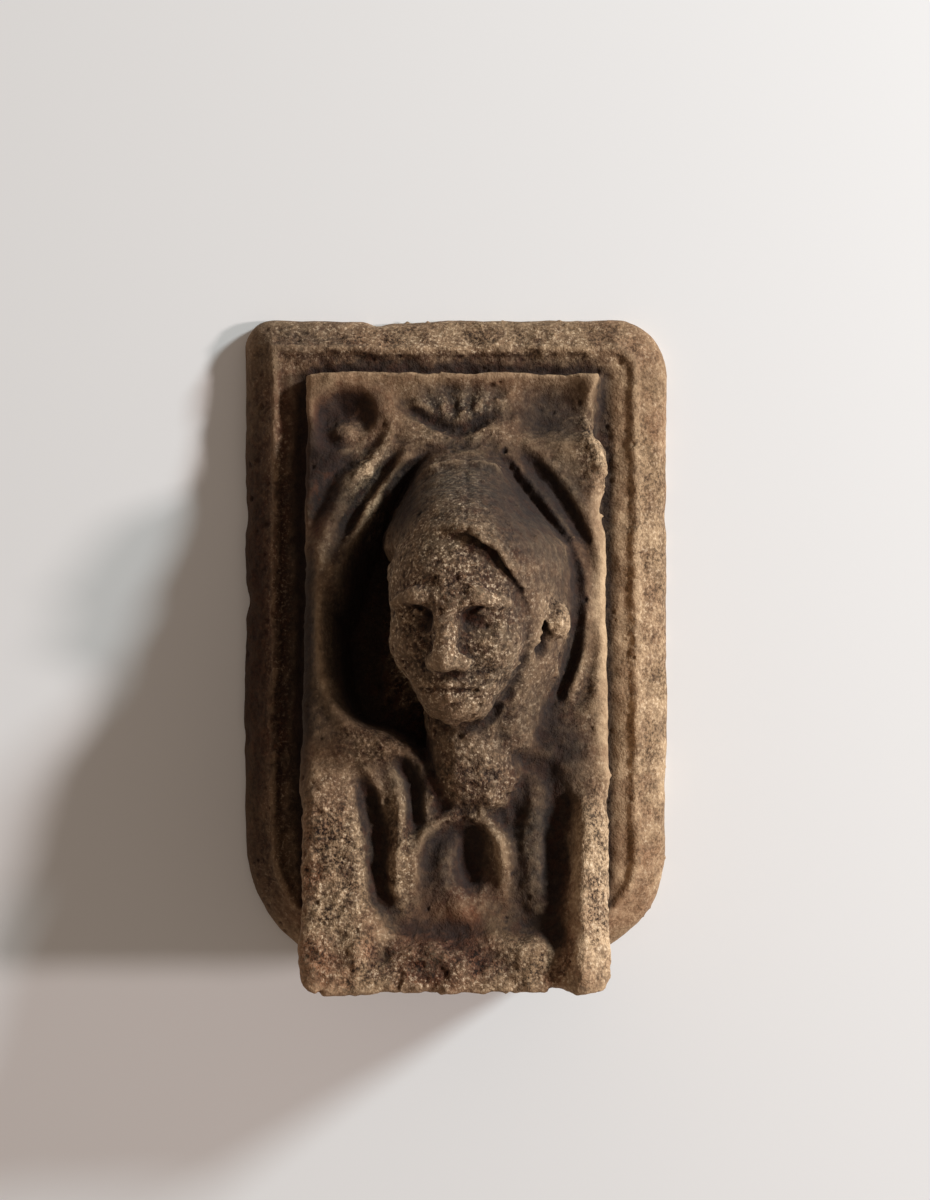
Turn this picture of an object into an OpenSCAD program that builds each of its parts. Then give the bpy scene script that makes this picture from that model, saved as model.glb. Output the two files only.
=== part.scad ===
// Carved stone corbel. A moulded backplate carries a wedge-shaped block that leans
// outward to its foot, and the block's front is carved with a hooded head in a niche,
// framed by paired bands, a fan-shaped keystone, two pilasters and a rolled foot.
// Frame: origin at the centre of the back face, +X to the viewer's right,
// +Y into the wall, +Z up. Millimetres.

/* [Backplate] */
// Width of the backplate
plate_w = 200; // [190:1:250]
// Height of the backplate, which is the height of the stone
plate_h = 298; // [280:1:360]
// Thickness of the backplate at the top of its sloping border
plate_t = 19; // [15:1:24]
// Radius of the upper left corner
corner_left_r = 17; // [8:1:30]
// Radius of the upper right corner, which is worn rounder
corner_right_r = 27; // [8:1:40]
// Radius of the two large lower corners
corner_foot_r = 58; // [40:1:66]

/* [Backplate moulding] */
// Width of the sloping border
edge_slope_w = 12; // [8:0.5:15]
// Drop of the sloping border to its outer edge
edge_slope_h = 9; // [5:0.5:12]
// Width of the flat between the sloping border and the bead
band_w = 2; // [1:0.5:4]
// Width of the bead
bead_w = 5; // [3:0.5:8]
// Height of the bead over the border
bead_h = 3.5; // [2:0.5:6]
// Depth of the channel inside the bead, below the border
channel_depth = 2; // [1:0.5:6]

/* [Block] */
// Width of the block at its head
block_head_w = 138; // [126:1:150]
// Width of the block at its foot
block_foot_w = 131; // [120:1:150]
// Height of the block
block_h = 270; // [250:1:320]
// Projection of the block's front from the wall, at its head
head_depth = 27; // [24:1:50]
// Projection of the block's front from the wall, at its foot
foot_depth = 95; // [70:1:120]
// Radius of the block's two lower corners
block_corner_r = 10; // [4:1:16]
// Height of the lip along the top of the front
lip_h = 3; // [2:0.5:5]
// Projection of the lip over the front
lip_out = 2; // [1:0.5:4]

/* [Niche] */
// Half width of the niche
niche_rx = 55; // [48:1:58]
// Half height of the niche, along the front
niche_ry = 68; // [60:1:74]
// Depth of the niche below the front
niche_depth = 34; // [15:1:40]
// Height of the niche's centre over the foot, along the front
niche_up = 168; // [150:1:175]
// Radius of a framing band
band_r = 4.2; // [3:0.1:6]

/* [Head] */
// Height of the head from chin to crown
face_h = 93; // [80:1:104]
// Width of the head at the temples
face_w = 66; // [56:1:74]
// Depth of the head from its middle to the brow
face_d = 38; // [30:1:44]
// How far the head's middle stands out from the wall
head_out = 70; // [60:1:80]
// Height of the head's middle over the middle of the plate
head_up = 14; // [4:1:24]
// Offset of the head to the viewer's right
head_right = 4; // [-6:1:8]
// Turn of the face to the viewer's left, in degrees
head_turn = 12; // [0:1:25]
// Nod of the head, in degrees
head_nod = 9; // [0:1:18]
// Radius of the neck
neck_r = 21; // [16:1:26]

/* [Lower carving] */
// Width of the left pilaster
pilaster_left_w = 34; // [26:1:40]
// Width of the right pilaster
pilaster_right_w = 19; // [14:1:28]
// Rise of a pilaster's rounded face over the front
pilaster_rise = 5; // [2:0.5:8]
// Height of the pilasters over the foot, along the front
pilaster_top = 101; // [90:1:112]
// Height of the rolled foot, along the front
foot_roll_h = 22; // [16:1:28]
// Depth of the ground between the pilasters, below the front
ground_depth = 7; // [3:0.5:12]

/* [Hidden] */
$fn = 32;

foot_z = -plate_h / 2;
block_top_z = foot_z + block_h;
lean = atan((foot_depth - head_depth) / block_h);   // the front's lean from the wall
front_len = block_h / cos(lean);                    // length of the front along its slope
bead_in = edge_slope_w + band_w;                    // inset of the bead from the outline
channel_in = bead_in + bead_w;                      // inset of the channel
set_back = 0.5;                                     // step between the plate's side and its border
lower_lift = plate_t - edge_slope_h;                // the plate's square lower lift
overlap = 1;                                        // how far joined shapes run into each other

// ---- the backplate ----

// One disc of a corner, with its centre at the radius r from both sides of the outline
module corner_disc(side, r, centre_z, inset) {
    translate([side * (plate_w / 2 - r), centre_z]) circle(r = max(r - inset, 0.5));
}

// The plate's outline, moved in by inset; its lower arcs run out below the foot and are cut flat
module plate_outline(inset) {
    half = plate_w / 2 - inset;
    top = plate_h / 2;
    left_r = max(corner_left_r, inset + 1);
    right_r = max(corner_right_r, inset + 1);
    foot_arc_z = foot_z + corner_foot_r - 7;
    intersection() {
        translate([-half, foot_z]) square([2 * half, plate_h - inset]);
        union() {
            corner_disc(-1, left_r, top - left_r, inset);
            corner_disc(1, right_r, top - right_r, inset);
            corner_disc(-1, corner_foot_r, foot_arc_z, inset);
            corner_disc(1, corner_foot_r, foot_arc_z, inset);
            // the body between the upper and lower arcs, then the strips between the arcs
            polygon([
                [-half, foot_arc_z], [-plate_w / 2 + corner_foot_r, foot_z - overlap],
                [plate_w / 2 - corner_foot_r, foot_z - overlap], [half, foot_arc_z],
                [half, top - right_r], [plate_w / 2 - right_r, top - inset],
                [-plate_w / 2 + left_r, top - inset], [-half, top - left_r]
            ]);
        }
    }
}

// A slab of the plate's outline between two distances from the wall
module plate_lift(inset, from, to) {
    translate([0, -from, 0]) rotate([90, 0, 0]) linear_extrude(to - from) plate_outline(inset);
}

module backplate() {
    plate_lift(0, 0, lower_lift);
    hull() {
        plate_lift(set_back, lower_lift - overlap, lower_lift + overlap, $fn = 32);
        plate_lift(edge_slope_w, plate_t - overlap, plate_t, $fn = 32);
    }
    difference() {
        hull() {
            plate_lift(bead_in, plate_t - overlap, plate_t + bead_h / 3, $fn = 32);
            plate_lift(bead_in + bead_w / 3, plate_t, plate_t + bead_h, $fn = 32);
        }
        plate_lift(channel_in, plate_t - channel_depth, plate_t + bead_h + overlap, $fn = 32);
    }
}

// ---- the block ----

// Places children on the sloping front: x across, y up along the slope from the foot, z outward
module on_front() {
    translate([0, -foot_depth, foot_z]) rotate([90 - lean, 0, 0]) children();
}

module block_outline() {
    head = block_head_w / 2;
    foot = block_foot_w / 2;
    r = block_corner_r;
    polygon([
        [-foot + r, foot_z], [foot - r, foot_z], [foot, foot_z + r],
        [head, block_top_z], [-head, block_top_z], [-foot, foot_z + r]
    ]);
    for (side = [-1, 1]) translate([side * (foot - r), foot_z + r]) circle(r = r - 0.05);
}

module block_body() {
    intersection() {
        rotate([90, 0, 90]) translate([0, 0, -block_head_w]) linear_extrude(2 * block_head_w)
            polygon([
                [0, foot_z], [-foot_depth, foot_z],
                [-head_depth, block_top_z], [0, block_top_z]
            ]);
        rotate([90, 0, 0]) linear_extrude(2 * foot_depth) block_outline();
    }
}

// The lip along the top of the front
module lip() {
    on_front() translate([-block_head_w / 2 + lip_out, front_len - lip_h - lip_out, -overlap])
        cube([block_head_w - 2 * lip_out, lip_h, lip_out + overlap]);
}

// ---- swept bands ----

function mix(a, b, t) = a + (b - a) * t;

// Catmull-Rom curve through points, with steps pieces to each span
function curve_at(a, b, c, d, t) = 0.5 * (2 * b + (c - a) * t
    + (2 * a - 5 * b + 4 * c - d) * t * t + (3 * b - a - 3 * c + d) * t * t * t);
function curve(p, steps) = let (n = len(p)) concat(
    [for (i = [0 : n - 2]) for (k = [0 : steps - 1])
        curve_at(p[max(i - 1, 0)], p[i], p[i + 1], p[min(i + 2, n - 1)], k / steps)],
    [p[n - 1]]);
function unit(v) = v / norm(v);
function tangent(p, i) = unit(p[min(i + 1, len(p) - 1)] - p[max(i - 1, 0)]);

// Radius along a band, drawn in at both ends
function taper(s) = mix(0.45, 1, min(1, 4 * min(s, 1 - s)));

band_sides = 6;
band_steps = 3;
band_low = -40;     // angle of the section's first corner, below the front
band_turn = 52;     // angle from one corner of the section to the next

// A round band along a path of [across, up] points on the front, its centre sunk below the front
module band(path, r, sink) {
    line = curve(path, band_steps);
    n = len(line);
    points = [for (i = [0 : n - 1])
        let (t = tangent(line, i), side = [-t[1], t[0]], here = r * taper(i / (n - 1)))
        for (k = [0 : band_sides - 1])
        let (turn = band_low + band_turn * k, out = here * cos(turn))
            [line[i][0] + side[0] * out, line[i][1] + side[1] * out, here * sin(turn) - sink]];
    walls = [for (i = [0 : n - 2]) for (k = [0 : band_sides - 1])
        let (next = (k + 1) % band_sides, a = i * band_sides, b = a + band_sides)
        [a + k, b + k, b + next, a + next]];
    first = [for (k = [0 : band_sides - 1]) k];
    last = [for (k = [band_sides - 1 : -1 : 0]) (n - 1) * band_sides + k];
    on_front() polyhedron(points, concat([first], walls, [last]), convexity = 6);
}

// Paths on the front, as [across, up] from the middle of the foot
outer_left_path = [
    [-29, 272], [-32, 250], [-42, 232], [-54, 213], [-59, 192],
    [-60, 166], [-58, 138], [-53, 118], [-44, 106]
];
inner_left_path = [[-17, 248], [-26, 235], [-35, 220], [-43, 206], [-48, 190]];
inner_right_path = [[22, 243], [32, 228], [43, 211], [53, 196], [57, 176], [56, 154], [51, 134], [44, 118]];
outer_right_path = [[35, 248], [47, 233], [57, 216], [63, 198], [64, 170], [62, 140], [56, 112]];
drape_inner_path = [[-42, 106], [-30, 96], [-24, 80], [-24, 56], [-24, 30]];
drape_outer_path = [[-40, 110], [-24, 104], [-15, 93], [-12, 78], [-16, 64]];
collar_path = [[-15, 36], [-16, 58], [-10, 71], [3, 77], [15, 71], [21, 58], [20, 36]];
fold_path = [[30, 112], [33, 90], [34, 60], [33, 28]];

module bands() {
    band(outer_left_path, band_r, 0.5);
    band(inner_left_path, band_r, 2);
    band(inner_right_path, band_r, 1.5);
    band(outer_right_path, band_r, 1.2);
    band(drape_inner_path, band_r, 1);
    band(drape_outer_path, band_r, 2);
    band(collar_path, band_r, 2);
    band(fold_path, band_r + 1, 3.4);
}

// ---- cuts in the block ----

// The niche: three round hollows one above another, which make an oval
module niche() {
    r = (niche_rx * niche_rx + niche_depth * niche_depth) / (2 * niche_depth);
    on_front() for (k = [-1 : 1])
        translate([-2, niche_up + k * (niche_ry - niche_rx), r - niche_depth]) sphere(r = r);
}

// The ground between the pilasters, below the niche
module lower_ground() {
    left = -block_foot_w / 2 + pilaster_left_w;
    right = block_foot_w / 2 - pilaster_right_w;
    on_front() translate([left, foot_roll_h, -ground_depth])
        cube([right - left, pilaster_top - foot_roll_h, 4 * ground_depth]);
}

rosette_x = -49;
rosette_up = 257;
rosette_r = 16;
rosette_depth = 7;

module rosette_sinking() {
    on_front() translate([rosette_x, rosette_up, -rosette_depth])
        cylinder(r = rosette_r, h = 4 * rosette_depth);
}

cavity_r = 8.5;
cavity_up = 36.5;
cavity_h = 33;
cavity_depth = 19;

// The hollow inside the collar
module collar_hollow() {
    on_front() translate([6, cavity_up, cavity_r - cavity_depth]) rotate([-90, 0, 0])
        cylinder(r = cavity_r, h = cavity_h);
}

worn_r = 31;
worn_depth = 6;

// The worn hollow at the top right of the block
module worn_corner() {
    on_front() translate([46, 257, worn_r - worn_depth]) sphere(r = worn_r);
}

// ---- raised carving ----

module rosette() {
    on_front() translate([rosette_x, rosette_up, -rosette_depth]) {
        sphere(r = rosette_r * 0.62);
        rotate_extrude() translate([rosette_r * 0.79, 0]) circle(r = 2);
    }
}

key_top_w = 52;
key_foot_w = 45;
key_foot_up = 244;
key_bar_h = 8;
key_out = 3;
flutes = 6;

// The keystone: a fluted fan over a heavy bar
module keystone() {
    key_h = front_len - lip_h - 2 * lip_out - key_foot_up;
    on_front() translate([1, key_foot_up, 0]) difference() {
        union() {
            translate([0, 0, -overlap]) linear_extrude(key_out + overlap) polygon([
                [-key_foot_w / 2, 0], [key_foot_w / 2, 0],
                [key_top_w / 2, key_h], [-key_top_w / 2, key_h]
            ]);
            translate([-key_foot_w / 2 + 2, key_bar_h / 2, 1]) rotate([0, 90, 0])
                cylinder(d = key_bar_h, h = key_foot_w - 4);
        }
        for (i = [0 : flutes - 1]) rotate([0, 0, mix(-52, 52, i / (flutes - 1))])
            translate([0, key_bar_h + 3, key_out + 0.6]) rotate([-90, 0, 0])
                cylinder(r1 = 0.8, r2 = 2.2, h = 2 * key_h);
    }
}

pilaster_foot = 5;
pilaster_sunk = 4;
pilaster_edge = 0.6;

// A pilaster: the part of a large cylinder that stands over the front
module pilaster(left, width) {
    r = (width * width / 4 + pilaster_rise * pilaster_rise) / (2 * pilaster_rise);
    on_front() intersection() {
        translate([left + width / 2, pilaster_foot, pilaster_rise - r]) rotate([-90, 0, 0])
            cylinder(r = r, h = pilaster_top - pilaster_foot);
        translate([left + pilaster_edge, 0, -pilaster_sunk]) cube([
            width - 2 * pilaster_edge, pilaster_top + overlap, pilaster_sunk + pilaster_rise + overlap
        ]);
    }
}

module pilasters() {
    edge = block_foot_w / 2 - 0.8;
    pilaster(-edge, pilaster_left_w);
    pilaster(edge - pilaster_right_w, pilaster_right_w);
}

// Lumps left along the rolled foot, each as [across, radius]
foot_lumps = [[-24, 14], [-5, 11], [19, 15]];

// The rolled foot
module foot_roll() {
    roll_d = foot_roll_h - 4;
    on_front() {
        translate([-block_foot_w / 2 + block_corner_r, foot_roll_h - roll_d / 2, -roll_d / 2 + 2.5])
            rotate([0, 90, 0]) cylinder(d = roll_d, h = block_foot_w - 2 * block_corner_r);
        for (lump = foot_lumps) translate([lump[0], foot_roll_h - 2, 3 - lump[1]]) sphere(r = lump[1]);
    }
}

// ---- the head ----

function bump(d, s) = exp(-d * d / (s * s));
function bump2(x, z, cx, cz, sx, sz) = exp(-pow((x - cx) / sx, 2) - pow((z - cz) / sz, 2));
function ramp(a, b, x) = let (t = min(1, max(0, (x - a) / (b - a)))) t * t * (3 - 2 * t);

// Heights on the face as shares of its height, measured from the middle
eye_x = face_w / 5;
brow_z = 0.08 * face_h;
nose_foot_z = -0.2 * face_h;
mouth_z = -0.31 * face_h;
chin_z = -0.43 * face_h;

// Half width and forward depth of the head at a height
function half_width(z) = let (mid = 0.07 * face_h, up = face_h / 2 - mid, down = face_h / 2 + mid)
    z > mid ? face_w / 2 * sqrt(max(0, 1 - pow((z - mid) / up, 2)))
            : face_w / 2 * pow(max(0, 1 - pow((mid - z) / down, 2.6)), 0.62);
function profile(z) = let (mid = -0.02 * face_h, up = face_h / 2 - mid, down = face_h / 2 + mid)
    z > mid ? face_d * pow(max(0, 1 - pow((z - mid) / up, 2.4)), 0.5)
            : face_d * pow(max(0, 1 - pow((mid - z) / down, 3.4)), 0.5);

// Relief of the features over the plain head
function brow(x, z) = 2.6 * bump2(abs(x), z, 0.7 * eye_x, brow_z, 14, 4.5);
function socket(x, z) = -5 * bump2(abs(x), z, eye_x, 0, 8, 5.2);
function eye(x, z) = 3 * bump2(abs(x), z, eye_x, -0.5, 5.6, 3.2);
function nose(x, z) = let (s = ramp(brow_z, nose_foot_z + 3, z), tip = ramp(nose_foot_z - 3.5, nose_foot_z + 1, z))
    tip * (mix(1.5, 11, s) * bump(x, mix(3.4, 5, s))
    + 3 * bump2(abs(x), z, 5.5, nose_foot_z + 2.5, 3.4, 3));
function lips(x, z) = 3.4 * bump(x, 11) * (bump(z - mouth_z - 2.4, 2.4) + bump(z - mouth_z + 3, 2.8)
    - 0.9 * bump(z - mouth_z, 1.4));
function chin(x, z) = 4 * bump2(x, z, 0, chin_z + 3, 9, 6) - 1.6 * bump2(x, z, 0, mouth_z - 7, 9, 2.6);
function cheek(x, z) = 2.6 * bump2(abs(x), z, 0.52 * face_w / 2, -0.13 * face_h, 9, 10);
function features(x, z) = brow(x, z) + socket(x, z) + eye(x, z) + nose(x, z) + lips(x, z)
    + chin(x, z) + cheek(x, z);

head_rings = 26;
head_sides = 32;

// Angle round the head from the face, closer together in front
function head_angle(k) = let (s = 2 * k / head_sides - 1) 180 * sign(s) * pow(abs(s), 1.5);
function head_point(z, turn) = let (x = half_width(z) * sin(turn), front = max(0, cos(turn)))
    [x, -profile(z) * cos(turn) - features(x, z) * pow(front, 0.7), z];

module head() {
    half = face_h / 2;
    heights = [for (i = [1 : head_rings - 1]) -half * cos(180 * i / head_rings)];
    rings = len(heights);
    points = concat(
        [for (z = heights) for (k = [0 : head_sides - 1]) head_point(z, head_angle(k))],
        [[0, 0, -half], [0, 0, half]]);
    walls = [for (i = [0 : rings - 2]) for (k = [0 : head_sides - 1])
        let (next = (k + 1) % head_sides, a = i * head_sides, b = a + head_sides)
        each [[a + k, a + next, b + k], [a + next, b + next, b + k]]];
    foot = [for (k = [0 : head_sides - 1]) [rings * head_sides, (k + 1) % head_sides, k]];
    crown = let (a = (rings - 1) * head_sides) [for (k = [0 : head_sides - 1])
        [rings * head_sides + 1, a + k, a + (k + 1) % head_sides]];
    translate([head_right, -head_out, head_up]) rotate([head_nod, 0, -head_turn])
        polyhedron(points, [for (f = concat(walls, foot, crown)) [f[0], f[2], f[1]]], convexity = 8);
}

ear_r = 8.5;
hood_r = 37;
hood_back_r = 29;   // radius of the hood where it leaves the keystone
hood_len = 38;
hood_tilt = -59;    // the hood runs back and up, from the brow to the keystone
neck_len = 75;
neck_tilt = 10;     // the neck leans out toward the chin

// The hood over the head, the neck, and the boss over the ear
module bust() {
    head();
    translate([head_right + 3, -head_out + 9, head_up + 16]) {
        rotate([hood_tilt, 0, 0]) for (k = [0 : 2])
            translate([0, 0, k * hood_len / 2]) sphere(r = mix(hood_r, hood_back_r, k / 2));
    }
    translate([head_right + 41, -head_out + 10, head_up - 4]) sphere(r = ear_r);
    translate([head_right + 4, -head_out + neck_r - 5, head_up - 96]) rotate([neck_tilt, -3, 0])
        cylinder(r1 = neck_r + 2, r2 = neck_r, h = neck_len);
}

module stone_corbel() {
    color([0.62, 0.53, 0.42]) union() {
        backplate();
        difference() {
            union() {
                block_body();
                keystone();
            }
            niche();
            lower_ground();
            rosette_sinking();
            worn_corner();
            collar_hollow();
        }
        lip();
        rosette();
        pilasters();
        foot_roll();
        bust();
        bands();
    }
}

stone_corbel();
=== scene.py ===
import math
import bpy
import numpy as np
import openvdb
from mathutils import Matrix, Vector


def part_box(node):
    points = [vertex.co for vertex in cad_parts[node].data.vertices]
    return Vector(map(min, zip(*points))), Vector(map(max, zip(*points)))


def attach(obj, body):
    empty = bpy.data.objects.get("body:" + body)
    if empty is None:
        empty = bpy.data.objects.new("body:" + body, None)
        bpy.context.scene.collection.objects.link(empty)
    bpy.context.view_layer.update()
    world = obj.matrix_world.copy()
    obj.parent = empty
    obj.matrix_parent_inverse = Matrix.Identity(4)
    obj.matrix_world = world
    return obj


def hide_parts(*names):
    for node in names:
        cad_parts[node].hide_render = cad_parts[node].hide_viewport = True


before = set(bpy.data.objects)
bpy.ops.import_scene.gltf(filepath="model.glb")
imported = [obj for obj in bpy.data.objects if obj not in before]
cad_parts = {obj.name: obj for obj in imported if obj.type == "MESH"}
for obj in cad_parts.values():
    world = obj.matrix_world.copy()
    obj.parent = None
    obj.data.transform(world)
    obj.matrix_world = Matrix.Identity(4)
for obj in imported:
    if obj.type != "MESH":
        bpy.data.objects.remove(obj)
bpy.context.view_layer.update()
low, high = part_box("stone_corbel")
stoneHeight = 298                               # in millimetres of the carving
mm = (high[2] - low[2]) / stoneHeight           # one millimetre of the carving, in metres
rng = np.random.default_rng(41)


# the stone's form is a field that is negative inside the stone, sampled on a grid;
# positions are (across, out, up) in millimetres from the middle of the flat back
form = {
    "gridStep": 0.8,
    "plateHalfWide": 100, "plateTop": 149, "foot": -149,
    "cornerLeft": 15, "cornerRight": 28, "cornerFoot": 58,
    "arcsFoot": -156,                               # the lower arcs run out below the flat foot
    "blockHeadHalf": 68.5, "blockFootHalf": 65.5, "blockTop": 121,
    "headDepth": 27, "footDepth": 95,
    "fieldLimit": 3, "triangles": 190000,
}

step = form["gridStep"]
xs = np.arange(-102.4, 102.5, step, dtype=np.float32)
ts = np.arange(-4 * step, 119, step, dtype=np.float32)
zs = np.arange(-152.8, 152.9, step, dtype=np.float32)
gridSize = (len(xs), len(ts), len(zs))
gridX = xs[:, None, None]
gridT = ts[None, :, None]
gridZ = zs[None, None, :]

leanAngle = math.atan((form["footDepth"] - form["headDepth"]) / (form["blockTop"] - form["foot"]))
cosLean, sinLean = math.cos(leanAngle), math.sin(leanAngle)


# eases from 0 at a to 1 at b
def ramp(a, b, v):
    s = np.clip((v - a) / (b - a), 0, 1)
    return s * s * (3 - 2 * s)


def mix(a, b, s):
    return a + (b - a) * s


def softMin(a, b, k):
    h = np.clip(0.5 + 0.5 * (b - a) / k, 0, 1)
    return mix(b, a, h) - k * h * (1 - h)


def softMax(a, b, k):
    return -softMin(-a, -b, k)


# reads a lattice along one axis at the given coordinates, with smooth steps between its points
def spread(values, coords, wave, axis):
    p = (coords - coords[0]) / wave
    i = np.floor(p).astype(int)
    f = (p - i).astype(np.float32)
    f = f * f * (3 - 2 * f)
    shape = [1] * values.ndim
    shape[axis] = len(coords)
    f = f.reshape(shape)
    return np.take(values, i, axis) * (1 - f) + np.take(values, i + 1, axis) * f


# the height on the block's sloping front that lies nearest to a place
def alongFront(t, z):
    return form["foot"] + cosLean ** 2 * (z - form["foot"]) + sinLean * cosLean * (form["footDepth"] - t)


# smooth random values of about -1 to 1, over a grid of two or three axes
def noise(wave, *axes):
    counts = [int((a[-1] - a[0]) / wave) + 3 for a in axes]
    values = rng.uniform(-1, 1, counts).astype(np.float32)
    for axis, coords in enumerate(axes):
        values = spread(values, coords, wave, axis)
    return values


def boxBlur(values, radius, axis):
    width = 2 * radius + 1
    pad = [(0, 0)] * values.ndim
    pad[axis] = (radius + 1, radius)
    total = np.cumsum(np.pad(values, pad, mode="edge"), axis=axis, dtype=np.float64)
    count = values.shape[axis]
    ahead = np.take(total, np.arange(width, width + count), axis=axis)
    behind = np.take(total, np.arange(0, count), axis=axis)
    return ((ahead - behind) / width).astype(np.float32)


# the front's relief, as heights over the block's sloping front
mapStep = 0.5
mapZ = np.arange(-190, 160, mapStep, dtype=np.float32)
mapX = xs[:, None]
mapUp = mapZ[None, :]


# a smooth line through the points
def curve(points, pieces=6):
    p = np.array(points, dtype=float)
    p = np.vstack([2 * p[0] - p[1], p, 2 * p[-1] - p[-2]])
    out = []
    for a, b, c, d in zip(p[:-3], p[1:-2], p[2:-1], p[3:]):
        for s in np.arange(pieces) / pieces:
            out.append(0.5 * (2 * b + (c - a) * s + (2 * a - 5 * b + 4 * c - d) * s ** 2
                              + (3 * b - a - 3 * c + d) * s ** 3))
    out.append(p[-2])
    return np.array(out)


# distance from every map point to a line, and the share of the line's length at the nearest place
def distanceTo(line):
    best = np.full((len(xs), len(mapZ)), 1e9, np.float32)
    share = np.zeros_like(best)
    lengths = np.hypot(*np.diff(line, axis=0).T)
    starts = np.concatenate([[0], np.cumsum(lengths)])
    for a, b, length, start in zip(line[:-1], line[1:], lengths, starts):
        dx, dz = (b - a) / length
        across, up = mapX - a[0], mapUp - a[1]
        s = np.clip(across * dx + up * dz, 0, length)
        d = (across - s * dx) ** 2 + (up - s * dz) ** 2
        near = d < best
        best[near] = d[near]
        share[near] = ((start + s) / starts[-1])[near]
    return np.sqrt(best), share


# true inside a closed line
def insideOf(line):
    inside = np.zeros((len(xs), len(mapZ)), bool)
    for a, b in zip(line, np.roll(line, -1, axis=0)):
        crosses = (a[1] > mapUp) != (b[1] > mapUp)
        at = a[0] + (mapUp - a[1]) * (b[0] - a[0]) / (b[1] - a[1] + 1e-9)
        inside ^= crosses & (mapX < at)
    return inside


# a soft patch, 1 at its middle; a higher power gives it a flatter top
def blob(x, z, rx, rz, power=2):
    return np.exp(-(np.abs((mapX - x) / rx) ** power + np.abs((mapUp - z) / rz) ** power))


front = 0.8 * noise(30, xs, mapZ) + 0.4 * noise(11, xs, mapZ)


# a rounded band along a line, sinking into the stone over its ends
def raiseBand(points, width, crest, root=6, soft=1.2, ends=0.12):
    global front
    d, share = distanceTo(curve(points))
    ease = ramp(0, ends, share) * ramp(0, ends, 1 - share) if ends else 1
    top = crest - (1 - ease) * (crest + root * 0.6) - (crest + root) * (d / width) ** 2
    front = np.where(d < 3 * width, softMax(front, top, soft), front)


# a rounded groove along a line, shallower over its ends
def cutGroove(points, width, depth, soft=1.2, ends=0.12):
    global front
    d, share = distanceTo(curve(points))
    ease = ramp(0, ends, share) * ramp(0, ends, 1 - share) if ends else 1
    floor = -depth * ease + (depth + 1) * (d / width) ** 2
    front = np.where(d < 3 * width, softMin(front, floor, soft), front)


def lump(x, z, rx, rz, rise, power=2):
    global front
    front = front + rise * blob(x, z, rx, rz, power)


niche = {
    "outline": [(3, 84), (14, 81), (25, 69), (36, 55), (46, 39), (52, 20), (52, 0), (47, -20), (42, -36),
                (34, -50), (12, -60), (-12, -60), (-15, -56), (-22, -50), (-34, -43), (-45, -34), (-53, -18),
                (-57.5, 0), (-57, 18), (-52, 33), (-45, 46), (-35, 61), (-24, 76), (-11, 83)],
    "deepLeft": 34, "deepRight": 1.5, "wallLeft": 4.5, "wallRight": 10,
}

print("relief: niche")
outline = curve(niche["outline"] + niche["outline"][:1], 4)
nicheEdge, _ = distanceTo(outline)
nicheIn = np.where(insideOf(outline), nicheEdge, -nicheEdge)
toRight = ramp(4, 26, mapX + 0 * mapUp)
highUp = ramp(30, 78, mapUp + 0 * mapX)
nicheDeep = mix(niche["deepLeft"], niche["deepRight"], toRight) * mix(1, 0.45, highUp)
nicheWall = mix(niche["wallLeft"], niche["wallRight"], toRight)
front = front - nicheDeep * ramp(0, 1, nicheIn / nicheWall)

print("relief: head of the front")
lump(45, 104, 19, 13, -9, 3.4)                        # worn hollow at the upper right
lump(64, 114, 6, 5, 4)
lump(-62, 78, 8, 24, -2.6, 3)
lump(66, 80, 5, 9, 4)                                 # lumps left on the right edge
lump(62, 89, 4, 4, 2.4)
rosetteWave = 1.6 * noise(9, xs, mapZ)
rosetteAway = np.hypot(mapX + 50, mapUp - 100) + rosetteWave
front = front - 9 * (1 - ramp(9, 17, rosetteAway))
lump(-51, 94, 8, 5.5, 6, 3)
lump(-44, 106, 5, 5, 2.4)
for angle in range(20, 380, 60):                      # what is left of the rosette's petals
    lump(-50 + 10 * math.cos(math.radians(angle)), 100 + 10 * math.sin(math.radians(angle)), 3.2, 3.2, 1.6)

fan = {"focus": (3, 84), "flutes": 9, "deep": 4}
fanAngle = np.arctan2(mapX - fan["focus"][0], mapUp - fan["focus"][1])
fanSides = ramp(-31, -24, mapX) * (1 - ramp(24, 31, mapX))
fanSides = fanSides * ramp(92, 97, mapUp - 0.008 * mapX ** 2) * (1 - ramp(113, 118, mapUp))
front = front - fan["deep"] * fanSides
front = front + fanSides * (3.2 * np.abs(np.cos(fanAngle * fan["flutes"])) + 0.8 * noise(3, xs, mapZ))
cutGroove([(-22, 105), (-11, 99), (2.4, 94.5), (13, 99.5), (23, 106)], 3.4, 6, 2)
raiseBand([(-23, 90), (2, 88), (22, 90)], 5, 1.2, 4, 2, 0.2)              # the worn bar under the fan
front = np.where(mapUp > 117.5, front + 1.4 * ramp(117.5, 119, mapUp), front)   # lip along the top

print("relief: bands")
bands = {
    "outerLeft": [(-27, 117), (-30, 103), (-31.5, 92), (-40, 78), (-50, 64), (-56, 51), (-59.5, 38),
                  (-60.5, 20), (-60.5, 0), (-58, -18), (-52.5, -33), (-45, -43), (-36, -49)],
    "innerLeft": [(-14, 93), (-22, 84), (-31, 71), (-39, 58), (-46, 46), (-51.5, 33), (-55, 18)],
    "innerRight": [(19, 88), (28, 76), (38, 63), (48, 49), (55, 36), (58, 22), (58.5, 4), (55, -12),
                   (50, -26), (45, -38)],
    "outerRight": [(33, 90), (45, 76), (55, 61), (61.5, 46), (64.5, 30), (65, 8), (62, -14), (57, -32)],
}
raiseBand(bands["outerLeft"], 5, 2, 5)
raiseBand(bands["innerLeft"], 5, 1.4, 7)
raiseBand([(-59, 26), (-60.5, 10), (-59.5, -8), (-55, -26), (-47, -38.5), (-38, -47)], 2.8, 5, 8, 1, 0.2)
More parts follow.
